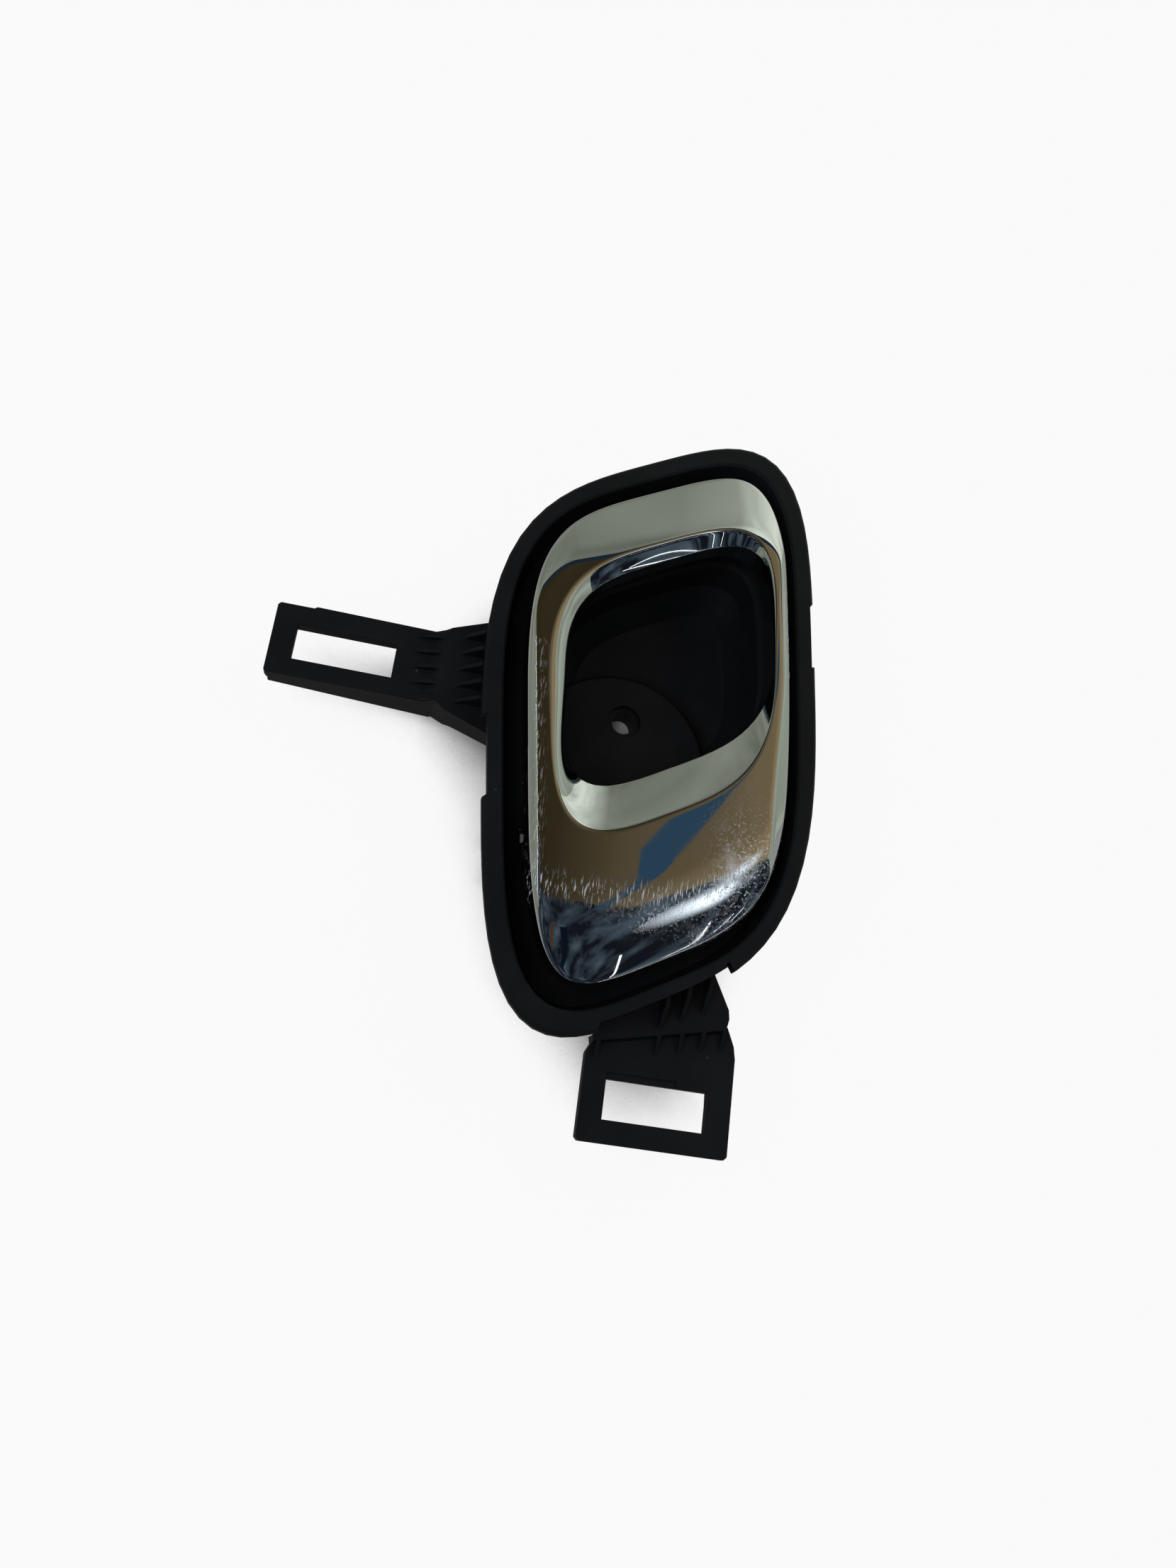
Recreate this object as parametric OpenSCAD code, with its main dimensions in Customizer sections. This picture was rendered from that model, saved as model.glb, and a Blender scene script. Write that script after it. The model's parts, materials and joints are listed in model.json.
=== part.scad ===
// Interior door handle of a car: a moulded housing with a bezel, a finger cup and two
// snap-in arms, and a plated ring-shaped lever that turns on a pin behind its left bar.
// Z points out of the handle's face, Y runs up along the handle, and the origin is the
// middle of the fixing screw's seat in the cup.

/* [Bezel] */
// Width of the bezel along its sloping ends
bezel_w = 82.8; // [76:0.2:92]
// Length of the bezel along its leaning sides
bezel_l = 128.6; // [118:0.2:140]
// Width of the flat bezel band
bezel_band = 4.5; // [3.5:0.25:6]
// Height of the bezel's outer rim
rim_h = 2.8; // [2:0.2:4]
// Thickness of the door trim's edge that lies behind the bezel
trim_t = 2.5; // [1.8:0.1:2.8]
// Slope of the upper and lower ends, in degrees
end_slope = 30; // [24:1:34]
// Lean of the left and right sides, in degrees
side_lean = 7; // [4:1:9]
// How square the bezel's corners are, 2 is an ellipse
squareness = 3.45; // [3:0.05:4]
// How much wider the upper end is than the middle
taper = 0.05; // [0:0.01:0.08]
// Height of the bezel's face above the screw seat
face_z = 22.2; // [20:0.2:25]

/* [Well and cup] */
// Wall of the housing
wall = 2.2; // [1.8:0.1:2.8]
// Depth of the well that the lever lies in
well_d = 10.5; // [10:0.25:12]
// Depth of the deep side of the cup below the screw seat
cup_drop = 3.8; // [3:0.2:6]
// Radius of the raised floor that the screw stands in
island_r = 22; // [20:0.5:24]
// Radius of the fixing hole
hole_r = 2.75; // [2.25:0.25:3.25]
// Radius of the recess for the screw's head
head_r = 4; // [3.75:0.25:4.75]
// Depth of the recess for the screw's head
head_d = 1.2; // [0.8:0.2:2]

/* [Lever] */
// Gap between the lever and the bezel's band
lever_gap = 3.7; // [3.2:0.1:4.5]
// Height of the lever's crest above the bezel
lever_rise = 5; // [3.5:0.25:6]
// Wall of the plated shell
shell_wall = 1.8; // [1.5:0.1:2]
// Depth of the lever's outer skirt below the bezel's face
skirt_d = 3; // [2.5:0.25:3.5]
// Width of the lever's left bar at the back
left_bar = 8.5; // [7.5:0.1:9.5]
// Width of the lever's right bar at the back
right_bar = 3.9; // [3.6:0.1:5]
// Width of the lever's upper bar at the back
top_bar = 17.7; // [16:0.1:20]
// Length of the finger opening
grip_l = 49.5; // [46:0.5:54]
// Opening angle of the lever used for display, in degrees
lever_swing = 0; // [0:1:30]

/* [Pivot] */
// Distance of the pin from the lever's left edge
pivot_in = 6.2; // [5.8:0.1:6.6]
// Radius of the pivot pin
pin_r = 1.5; // [1.25:0.05:1.75]
// Running clearance between the pin and its bores
pin_clear = 0.06; // [0.03:0.01:0.1]
// Radius of the ears and bosses round the pin
eye_r = 3.2; // [2.9:0.1:3.4]
// Thickness of each ear of the housing
ear_t = 3; // [2.5:0.25:4]
// Side play of the lever between the ears
side_play = 0.3; // [0.2:0.05:0.5]
// Length of the lever between the outer faces of its bosses
boss_span = 50; // [48:0.5:52]
// Length of each boss of the lever
boss_l = 5; // [4:0.5:6]
// Diameter of the spring's wire
wire_d = 0.9; // [0.7:0.1:1.1]
// Number of turns of the return spring
spring_turns = 7; // [5:1:9]
// Length of the crank from the pin to the cable's eye
crank_l = 13; // [11:0.5:14]

/* [Snap arms] */
// Length of each clip window
window_l = 22.4; // [20:0.2:25]
// Width of each clip window
window_w = 8.3; // [7:0.1:9]
// Thickness of the arm plates
plate_t = 2.8; // [2.2:0.1:3.4]
// Step between the root plates and the window plates
riser_h = 2; // [1.5:0.25:3]
// Width of the left arm
left_w = 17.4; // [16:0.2:19]
// Length of the left arm between the bezel and its step
left_root_l = 9; // [8:0.2:10]
// Length of the left arm's window plate
left_plate_l = 35.6; // [33:0.2:39]
// Width of the lower arm
lower_w = 32.6; // [30:0.2:35]
// Length of the lower arm between the bezel and its step, at its left end
lower_root_l = 1.1; // [0.8:0.1:2]
// Length of the lower arm's window plate, at its left end
lower_plate_l = 20.2; // [18.5:0.1:22]
// Thickness of the gussets
gusset_t = 0.9; // [0.7:0.1:1.3]

/* [Hidden] */

black = [0.07, 0.07, 0.08];
chrome = [0.82, 0.83, 0.82];
steel = [0.6, 0.61, 0.62];
rubber = [0.13, 0.13, 0.13];
eps = 0.02;

// Outlines: each is [centre x, centre y, half width, half length, taper, squareness]
sides = 84;
side_dir = 90 + side_lean;
skew = sin(side_dir - end_slope);
centre = [3.2, -5.6];
bezel = [centre.x, centre.y, bezel_w / 2, bezel_l / 2, taper, squareness];
band = squarer(inset(bezel, bezel_band), 0.3);
well_out = inset(band, -wall);
lever = moved(squarer(inset(band, lever_gap), 0.2), [0.7, 0.7]);
grip_half = [lever[2] - (left_bar + right_bar) / 2 / skew, grip_l / 2];
grip_at = along((left_bar - right_bar) / 2 / skew, lever[3] - top_bar / skew - grip_half.y);
grip = [lever[0] + grip_at.x, lever[1] + grip_at.y, grip_half.x, grip_half.y, 0, squareness + 0.2];
brim_side = 2.2;
brim_end = 7.4;
brim_at = along(-2, -4);
brim = [grip[0] + brim_at.x, grip[1] + brim_at.y, grip[2] + brim_side, grip[3] + brim_end,
        taper, squareness];
crest = [lever[0] - 1.4, lever[1] + 2, 0.3 * lever[2] + 0.7 * brim[2],
         0.6 * lever[3] + 0.4 * brim[3], taper, squareness + 0.2];
mouth = inset(grip, -1.2);
cup_out = inset(mouth, -wall);
deep = moved(inset(mouth, 4.6), [1.5, 1]);
island = [-1, -10.5];

// Heights
shelf_z = face_z - well_d;
skirt_z = face_z - skirt_d;
crest_z = face_z + lever_rise;
floor_z = -cup_drop;
rest_z = floor_z - wall;
plate_z = shelf_z - riser_h;
tie_z = skirt_z - 0.25;
tie_t = 2;

// Pivot: local Y runs along the left bar
pivot = [lever[0] - lever[2] + pivot_in, 0, shelf_z + eye_r + 0.8];
boss_top = 10;
boss_low = boss_top - boss_span;
ear_top = boss_top + side_play;
ear_low = boss_low - side_play;
pin_top = ear_top + ear_t + side_play;
pin_low = ear_low - ear_t - 2.2;
pin_head_r = 2.6;
pin_head_t = 1.4;
groove_r = pin_r - 0.35;
retainer_t = 0.8;
spring_r = 2.75;
spring_low = boss_low + boss_l + 0.6;
spring_pitch = wire_d * 1.25;
leg_l = 4.5;

// A step along the slanted axes: u along the sloping ends, v along the leaning sides
function along(u, v) = [u * cos(end_slope) + v * cos(side_dir),
                        u * sin(end_slope) + v * sin(side_dir)];

// The outline's point at an angle: a squared ellipse on the slanted axes
function on(o, t) =
    let (c = cos(t), s = sin(t),
         r = pow(pow(abs(c), o[5]) + pow(abs(s), o[5]), -1 / o[5]))
    [o[0], o[1]] + along(o[2] * (1 + o[4] * r * s) * r * c, o[3] * r * s);

// The outline moved inwards by a distance, shifted, or with squarer corners
function inset(o, d) = [o[0], o[1], o[2] - d / skew, o[3] - d / skew, o[4], o[5]];
function moved(o, p) = [o[0] + p.x, o[1] + p.y, o[2], o[3], o[4], o[5]];
function squarer(o, n) = [o[0], o[1], o[2], o[3], o[4], o[5] + n];

function outline(o) = [for (i = [0:sides - 1]) on(o, 360 * i / sides)];
function stretch(o, t0, t1, n) = [for (i = [0:n]) on(o, t0 + (t1 - t0) * i / n)];
function ring(o, z) = [for (p = outline(o)) [p.x, p.y, z]];
function mix(p, q, f) = [for (i = [0:len(p) - 1]) p[i] * (1 - f) + q[i] * f];

// Skin through a list of rings; the last ring joins the first one, or both are capped
module skin(rings, loop = false) {
    n = len(rings[0]);
    m = len(rings);
    last = loop ? m - 1 : m - 2;
    walls = [for (i = [0:last], j = [0:n - 1], h = [0, 1])
        let (a = i * n + j,
             b = i * n + (j + 1) % n,
             c = ((i + 1) % m) * n + j,
             d = ((i + 1) % m) * n + (j + 1) % n)
        h == 0 ? [a, c, d] : [a, d, b]];
    caps = loop ? [] : [[for (j = [0:n - 1]) j],
                        [for (j = [n - 1:-1:0]) (m - 1) * n + j]];
    polyhedron(points = [for (r = rings, p = r) p], faces = concat(walls, caps));
}

// Places its children on the pivot axis, with local Y along the pin
module at_pivot(y = 0) {
    translate(pivot) rotate([0, 0, side_lean]) translate([0, y, 0]) children();
}

// A rod along the pivot axis between two stations
module rod(r, y0, y1) {
    at_pivot(y0) rotate([-90, 0, 0]) cylinder(r = r, h = y1 - y0, $fn = 48);
}

// Housing

// Thin-walled bowl: from the cup's underside up to the bezel and down inside again
module bowl() {
    skin([ring(inset(deep, -wall + 1), rest_z),
          ring(inset(deep, -wall), rest_z + 1),
          ring(mix(deep, cup_out, 0.75), rest_z + 6),
          ring(cup_out, shelf_z - wall - 1),
          ring(cup_out, shelf_z - wall),
          ring(well_out, shelf_z - wall),
          ring(well_out, face_z - rim_h),
          ring(bezel, face_z - rim_h),
          ring(bezel, face_z - 0.7),
          ring(inset(bezel, 0.7), face_z),
          ring(inset(band, -0.5), face_z),
          ring(band, face_z - 0.5),
          ring(inset(band, 0.5), face_z - 5),
          ring(inset(band, 1.4), shelf_z + 2.2),
          ring(inset(band, 3.4), shelf_z + 0.5),
          ring(inset(band, 5), shelf_z),
          ring(inset(mouth, -0.6), shelf_z),
          ring(mouth, shelf_z - 0.8),
          ring(mix(deep, mouth, 0.8), floor_z + 7),
          ring(deep, floor_z + 2.6),
          ring(inset(deep, 1), floor_z + 0.8),
          ring(inset(deep, 3), floor_z)]);
}

// Raised floor that the screw stands in, with a drafted side; it merges with the cup's wall
module seat_island() {
    intersection() {
        translate(island) rotate_extrude($fn = 96)
            polygon([[0, floor_z - eps], [island_r + 1.2, floor_z - eps],
                     [island_r + 0.2, head_d - 1], [island_r - 0.8, head_d], [0, head_d]]);
        skin([ring(inset(deep, -wall / 2), floor_z - 1),
              ring(inset(deep, -wall / 2), floor_z + 2.6),
              ring(inset(mix(deep, mouth, 0.8), -wall / 2), floor_z + 7)]);
    }
}

// Hollow under the raised floor, which leaves the screw boss standing
module seat_hollow() {
    difference() {
        translate([0, 0, rest_z - 1]) linear_extrude(head_d - wall - rest_z + 1)
            intersection() {
                translate(island) circle(r = island_r - wall, $fn = 96);
                polygon(outline(inset(deep, 0.6)));
            }
        translate([0, 0, rest_z - 2])
            cylinder(r = head_r + 1.6, h = -rest_z + 2, $fn = 48);
    }
}

module fixing_hole() {
    translate([0, 0, rest_z - 1]) cylinder(r = hole_r, h = 2 - rest_z, $fn = 48);
    cylinder(r = head_r, h = head_d + 1, $fn = 48);
}

// One ear that carries the pin, standing on the well's floor
module ear(y0) {
    rod(eye_r, y0, y0 + ear_t);
    at_pivot(y0) translate([-eye_r, 0, shelf_z - pivot.z - 0.5])
        cube([2 * eye_r, ear_t, pivot.z - shelf_z + 0.5]);
}

// Gusset with its foot's corner at the origin, along -X and up; its top is cut off level
module gusset(l, h, cut = 0, back = 0.3) {
    translate([0, gusset_t / 2, 0]) rotate([90, 0, 0]) linear_extrude(gusset_t)
        polygon([[back, -0.3], [back, h - cut], [-l * cut / h, h - cut], [-l, 0], [-l, -0.3]]);
}

// Wall along a line of points, thickened along Y
module strip(p, t) {
    polygon(concat(p, [for (i = [len(p) - 1:-1:0]) p[i] + [0, t]]));
}

trim_h = face_z - rim_h - shelf_z;
rib_t = 1.8;

// Left arm
left_mid = 0.8;
left_lo = left_mid - left_w / 2;
left_hi = left_mid + left_w / 2;
left_step = 2.2;
left_top_x = on(bezel, 156).x - left_root_l;
left_foot_x = left_top_x - left_step;
left_tip = left_foot_x - left_plate_l;
left_pitch = left_w / 4.4;

module left_arm() {
    edge = inset(well_out, wall / 2);
    low_side = [[left_tip + 0.8, left_lo], [left_top_x, left_lo],
                [left_top_x + 2.7, left_lo - 1.8], on(edge, 170)];
    high_side = [[left_tip + 0.8, left_hi - 0.3], [left_top_x, left_hi],
                 [left_top_x + 1.4, left_hi + 0.9], on(edge, 146)];
    difference() {
        union() {
            // window plate with the small step in its upper edge
            translate([0, 0, plate_z - plate_t]) linear_extrude(plate_t)
                polygon([[left_tip + 0.6, left_lo], [left_top_x, left_lo], [left_top_x, left_hi],
                         [left_tip + 8.6, left_hi + 0.2], [left_tip + 7.9, left_hi - 0.3],
                         [left_tip + 0.6, left_hi - 0.3], [left_tip, left_hi - 0.9],
                         [left_tip, left_lo + 0.6]]);
            // root plate, which widens towards the housing
            translate([0, 0, shelf_z - plate_t]) linear_extrude(plate_t)
                polygon(concat([low_side[1], low_side[2]], stretch(edge, 170, 146, 6),
                               [high_side[2], high_side[1]]));
            // drafted step between the two plates
            translate([left_foot_x, left_hi, plate_z - plate_t]) rotate([90, 0, 0])
                linear_extrude(left_w)
                polygon([[0, 0], [0, plate_t], [left_step, plate_t + riser_h],
                         [left_step + 1, plate_t + riser_h], [left_step + 1, 0]]);
            // side walls, deepest at the step
            intersection() {
                translate([0, 0, plate_z - 12]) linear_extrude(12 - eps) union() {
                    strip(low_side, rib_t);
                    strip(high_side, -rib_t);
                }
                translate([0, left_hi + 20, plate_z]) rotate([90, 0, 0]) linear_extrude(60)
                    polygon([[left_tip, 1], [left_tip + 0.8, -5], [left_top_x - 0.8, -9.2],
                             [left_top_x + 4.6, -6.1], [left_top_x + 16, -4.7],
                             [left_top_x + 16, 1]]);
            }
        }
        translate([left_tip + 5.1, left_mid - window_w / 2 - 0.4, plate_z - plate_t - 1])
            cube([window_l, window_w, plate_t + 2]);
        // the walls stop at the well's outer face
        translate([0, 0, rest_z]) linear_extrude(shelf_z - plate_t - rest_z - eps)
            polygon(concat([[0, on(edge, 176).y]], stretch(edge, 176, 140, 8), [[0, 40]]));
    }
    // small gussets that climb the step
    for (i = [0:4])
        translate([left_foot_x + 0.6, left_hi - 1.8 - i * left_pitch * 0.95, plate_z])
        gusset(4.7, riser_h, back = left_step - 0.2);
    // large gussets up to the bezel
    for (i = [0:4]) {
        wall_x = on(well_out, 150.5 + i * 3.25).x;
        translate([wall_x, left_hi - 0.85 - i * left_pitch, shelf_z])
            gusset(wall_x - left_top_x - 4.1, trim_h, trim_t);
    }
}

// Lower arm
lower_x = -0.9;
lower_slope = 12.5;
lower_root = [lower_x + 0.9, on(bezel, 252).y - lower_root_l];
lower_y = lower_root.y - lower_plate_l;
lower_step_w = lower_w - 4;
lower_rise = lower_step_w * tan(lower_slope);

module lower_arm() {
    x1 = lower_x + lower_w;
    r = lower_root;
    edge = inset(well_out, wall / 2);
    difference() {
        union() {
            // window plate with its shoulders
            translate([0, 0, plate_z - plate_t]) linear_extrude(plate_t)
                polygon([[lower_x + 0.7, lower_y], [x1 - 0.7, lower_y], [x1, lower_y + 0.7],
                         [x1, r.y + 0.7], [x1 - 0.5, r.y + 3.4], [x1 - 2.2, r.y + lower_rise + 0.9],
                         [r.x + 0.3, r.y + 0.2], [lower_x, r.y - 2.2], [lower_x, lower_y + 0.7]]);
            // root plate
            translate([0, 0, shelf_z - plate_t]) linear_extrude(plate_t)
                polygon(concat([r, [r.x + lower_step_w, r.y + lower_rise],
                                [x1 - 2.6, r.y + lower_rise + 2.4], [x1 - 2.9, r.y + lower_rise + 4.4],
                                [x1 - 6.8, r.y + lower_rise + 11.7]],
                               stretch(edge, 293, 252, 8)));
            // drafted step
            translate([r.x, r.y, plate_z - plate_t]) rotate([0, 0, lower_slope])
                rotate([90, 0, 90]) linear_extrude(lower_step_w / cos(lower_slope))
                polygon([[-0.5, 0], [-0.5, plate_t], [0.2, plate_t + riser_h],
                         [1.2, plate_t + riser_h], [1.2, 0]]);
            // ribs under the arm
            for (x = [lower_x + 2.5, x1 - 4.3]) translate([x, 0, plate_z]) rotate([90, 0, 90])
                linear_extrude(rib_t)
                polygon([[lower_y + 1, -eps], [lower_y + 1, -4.5], [r.y + 1.8, -7.5],
                         [r.y + 10.8, -8], [r.y + 10.8, -eps]]);
        }
        translate([lower_x + 5, lower_y + 4.8, plate_z - plate_t - 1])
            cube([window_l, window_w, plate_t + 2]);
        // shallow recess over the window
        translate([lower_x + 5, lower_y + 4.7 + window_w, plate_z - 0.4])
            cube([0.68 * window_l, 1.5, 1]);
        translate([0, 0, rest_z]) linear_extrude(shelf_z - plate_t - rest_z - eps)
            polygon(concat(stretch(edge, 236, 312, 10), [centre]));
    }
    // small gussets that climb the step
    for (x = [1.2, 14.1, 19.1, 23.8, 28.4])
        translate([r.x + x, r.y + x * tan(lower_slope) - 0.2, plate_z]) rotate([0, 0, 90])
        gusset(4.1, riser_h);
    // large gussets up to the bezel
    for (i = [0:2]) {
        p = on(well_out, 275.7 + i * 7.8);
        foot_y = r.y + (p.x - r.x) * tan(lower_slope) + 1.2 + 1.2 * i;
        translate([p.x, p.y, shelf_z]) rotate([0, 0, 90]) gusset(p.y - foot_y, trim_h, trim_t);
    }
}

// Ribs under the well's floor: [step along the ends, start and end along the sides]
rib_h = 4;
rib_list = [[-4, -60, -10], [5.5, -60, -10], [15, -60, -10],
            [-22, 20, 60], [-10, 20, 60], [2, 20, 60], [13, 20, 60]];

module back_ribs() {
    intersection() {
        translate([0, 0, shelf_z - wall - rib_h]) linear_extrude(rib_h + 0.5) difference() {
            polygon(outline(inset(well_out, 1)));
            polygon(outline(inset(cup_out, 1)));
        }
        union() {
            for (k = rib_list) translate(centre + along(k[0], k[1])) rotate([0, 0, side_lean])
                translate([0, 0, shelf_z - wall - rib_h]) cube([1.4, k[2] - k[1], rib_h + 0.5]);
        }
    }
}

// Cuts the bezel's edge back by a depth between two angles of its outline
module edge_cut(t0, t1, d) {
    translate([0, 0, face_z - rim_h - 1]) linear_extrude(rim_h + 2)
        polygon(concat(stretch(inset(bezel, d), t0, t1, 10), stretch(inset(bezel, -4), t1, t0, 10)));
}

// Bracket for the cable's sheath and the rear foot, below the crank
crank_y = boss_low + boss_l / 2;
bracket_x = -7;
bracket_w = 12;
sheath_r = 2.6;

module cable_bracket() {
    at_pivot(crank_y) difference() {
        translate([bracket_x - wall, -bracket_w / 2, rest_z - pivot.z])
            cube([wall, bracket_w, shelf_z - wall - rest_z + 0.6]);
        translate([bracket_x - wall - 1, 0, -crank_l]) rotate([0, 90, 0])
            cylinder(r = sheath_r, h = wall + 2, $fn = 48);
        translate([bracket_x - wall - 1, -sheath_r + 0.3, rest_z - pivot.z - 1])
            cube([wall + 2, 2 * sheath_r - 0.6, pivot.z - crank_l - rest_z + 1]);
    }
    // two webs that brace the bracket against the well's floor
    for (y = [-bracket_w / 2, bracket_w / 2 - 1.6])
        at_pivot(crank_y + y + 1.6) translate([bracket_x - wall / 2, 0, shelf_z - wall - pivot.z])
        rotate([90, 0, 0]) linear_extrude(1.6)
        polygon([[0, 0.6], [0, -9], [1.5, -7], [3.4, 0], [3.4, 0.6]]);
}

stop_r = 2.8;
stop_hole_r = 1.6;
upper_stop = on(inset(lever, 8), 52);
lower_stop = on(inset(lever, 8), -38);

module housing() {
    color(black) difference() {
        union() {
            difference() {
                union() {
                    bowl();
                    seat_island();
                }
                seat_hollow();
            }
            left_arm();
            lower_arm();
            back_ribs();
            cable_bracket();
            ear(ear_top);
            ear(ear_low - ear_t);
        }
        fixing_hole();
        rod(pin_r + pin_clear, pin_low - 1, pin_top + 1);
        // slot for the crank
        at_pivot(crank_y) translate([-3.6, -boss_l / 2 - 0.8, shelf_z - wall - 1 - pivot.z])
            cube([11.5, boss_l + 1.6, wall + 2]);
        for (p = [upper_stop, lower_stop]) translate([p.x, p.y, shelf_z - wall - 1])
            cylinder(r = stop_hole_r, h = wall + 2, $fn = 32);
        // set-backs of the bezel's edge
        edge_cut(-1, 13, 0.9);
        edge_cut(168, 184.5, 1.1);
        edge_cut(250, 293.5, 1.7);
        edge_cut(293.4, 294.6, 2.4);
    }
}

// Lever

// Ring-shaped plated shell, open at the back
module lever_shell() {
    w = shell_wall;
    color(chrome) swing() skin([
        ring(lever, skirt_z),
        ring(lever, face_z + 1.6),
        ring(inset(lever, 0.5), face_z + 2.7),
        ring(mix(lever, crest, 0.35), face_z + 0.5 * lever_rise + 1.2),
        ring(mix(lever, crest, 0.7), crest_z - 0.55),
        ring(crest, crest_z),
        ring(mix(crest, brim, 0.5), crest_z - 0.35),
        ring(inset(brim, -0.6), crest_z - 0.8),
        ring(inset(brim, 0.3), crest_z - 1.5),
        ring(mix(brim, grip, 0.5), face_z + 0.4),
        ring(mix(brim, grip, 0.85), face_z - 2.1),
        ring(grip, skirt_z + 0.1),
        ring(inset(grip, -0.5), skirt_z - 0.2),
        ring(inset(grip, -w + 0.2), skirt_z - 0.2),
        ring(inset(mix(brim, grip, 0.85), -w), face_z - 2.3 - w * 0.3),
        ring(inset(mix(brim, grip, 0.5), -w), face_z + 0.2 - w * 0.5),
        ring(inset(brim, -w), crest_z - 1.4 - w),
        ring(crest, crest_z - 0.2 - w),
        ring(mix(inset(lever, w * 0.5), inset(crest, w * 0.5), 0.35), face_z + 0.5 * lever_rise + 0.8 - w),
        ring(inset(lever, w), face_z + 0.8),
        ring(inset(lever, w), skirt_z)], loop = true);
}

// Moves the lever's pieces about the pin for display
module swing() {
    translate(pivot) rotate([0, 0, side_lean]) rotate([0, -lever_swing, 0])
        rotate([0, 0, -side_lean]) translate(-pivot) children();
}

// One eye of the carrier round the pin, with its web up to the tie plate
module carrier_eye(y0) {
    rod(eye_r, y0, y0 + boss_l);
    at_pivot(y0) translate([-eye_r + 0.6, 0, 0]) cube([2 * eye_r - 1.8, boss_l, tie_z - pivot.z + eps]);
}

// Black backing of the lever with its eyes and the crank that pulls the cable
module lever_carrier() {
    fit = 0.25;
    inner = inset(mix(brim, grip, 0.5), -shell_wall - fit);
    bar_low = on(inner, -38);
    bar_top = on(inner, 36);
    color(black) swing() difference() {
        union() {
            // tie plate round the opening, left open behind the narrow right bar
            translate([0, 0, tie_z]) linear_extrude(tie_t) difference() {
                polygon(outline(inset(lever, shell_wall + fit)));
                polygon(outline(inner));
                translate([bar_low.x - 3, bar_low.y]) square([30, bar_top.y - bar_low.y]);
            }
            carrier_eye(boss_low);
            carrier_eye(boss_top - boss_l);
            // crank
            at_pivot(boss_low) translate([-2.2, 0, -crank_l]) cube([4.4, boss_l, crank_l]);
            at_pivot(boss_low) translate([0, 0, -crank_l]) rotate([-90, 0, 0])
                cylinder(r = 3.4, h = boss_l, $fn = 48);
            // ribs on the wide lower end
            for (i = [0:2]) translate([-8 + 9 * i, lever[1] - 40 + 5 * i, tie_z - 2])
                rotate([0, 0, side_lean]) cube([1.4, 12, 2 + eps]);
        }
        rod(pin_r + pin_clear, pin_low - 1, pin_top + 1);
        // seat and slot for the cable's end
        at_pivot(boss_low - 1) translate([0, 0, -crank_l]) rotate([-90, 0, 0])
            cylinder(r = 1.7, h = boss_l + 2, $fn = 32);
        at_pivot(boss_low + boss_l / 2 - 0.7) translate([-4, 0, -crank_l - 4]) cube([4, 1.4, 4]);
    }
}

module pivot_pin() {
    color(steel) difference() {
        union() {
            rod(pin_r, pin_low, pin_top + eps);
            rod(pin_head_r, pin_top, pin_top + pin_head_t);
        }
        difference() {
            rod(pin_r + 1, ear_low - ear_t - 0.1 - retainer_t - 0.1, ear_low - ear_t - 0.1);
            rod(groove_r, pin_low - 1, ear_low);
        }
    }
}

// Push-on ring in the pin's groove, open on one side
module pin_retainer() {
    y0 = ear_low - ear_t - 0.15 - retainer_t;
    color(steel) difference() {
        rod(3, y0, y0 + retainer_t);
        rod(groove_r + 0.03, y0 - 1, y0 + retainer_t + 1);
        at_pivot(y0 - 1) translate([-groove_r * 0.8, 0, 0]) cube([groove_r * 1.6, retainer_t + 2, 4]);
    }
}

// Torsion spring on the pin: its legs push on the well's floor and under the carrier
function coil_point(a) = [spring_r * cos(a), a / 360 * spring_pitch, spring_r * sin(a)];
wire_path = concat([[-leg_l, 0, -spring_r], [-leg_l / 2, 0, -spring_r]],
                   [for (i = [0:spring_turns * 12 + 6]) coil_point(-90 + 30 * i)
                        + [0, spring_pitch / 4, 0]],
                   [[-leg_l / 2, (spring_turns + 1) * spring_pitch, spring_r],
                    [-leg_l, (spring_turns + 1) * spring_pitch, spring_r]]);

function unit(v) = v / norm(v);
function tube_ring(path, i, r, n) =
    let (a = path[max(i - 1, 0)], b = path[min(i + 1, len(path) - 1)],
         d = unit(b - a),
         e = unit(cross(d, [0, 1, 0.001])),
         f = cross(d, e))
    [for (j = [0:n - 1]) path[i] + r * (cos(360 * j / n) * e + sin(360 * j / n) * f)];

module return_spring() {
    color(steel) at_pivot(spring_low)
        skin([for (i = [0:len(wire_path) - 1]) tube_ring(wire_path, i, wire_d / 2, 6)]);
}

// Rubber buffer pushed into the well's floor under the lever's right bar
module bump_stop(p) {
    color(rubber) translate([p.x, p.y, 0]) rotate_extrude($fn = 32)
        polygon([[0, shelf_z - wall - 1.8], [1, shelf_z - wall - 1.8], [stop_hole_r + 0.5, shelf_z - wall - 0.6],
                 [stop_hole_r + 0.5, shelf_z - wall - 0.05], [stop_hole_r - 0.05, shelf_z - wall - 0.05],
                 [stop_hole_r - 0.05, shelf_z + 0.02], [stop_r, shelf_z + 0.02], [stop_r, tie_z - 1.2],
                 [stop_r - 0.9, tie_z - 0.3], [0, tie_z - 0.3]]);
}

module upper_bump_stop() { bump_stop(upper_stop); }
module lower_bump_stop() { bump_stop(lower_stop); }

housing();
lever_shell();
lever_carrier();
pivot_pin();
pin_retainer();
return_spring();
upper_bump_stop();
lower_bump_stop();
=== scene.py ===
import json
import math

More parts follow.
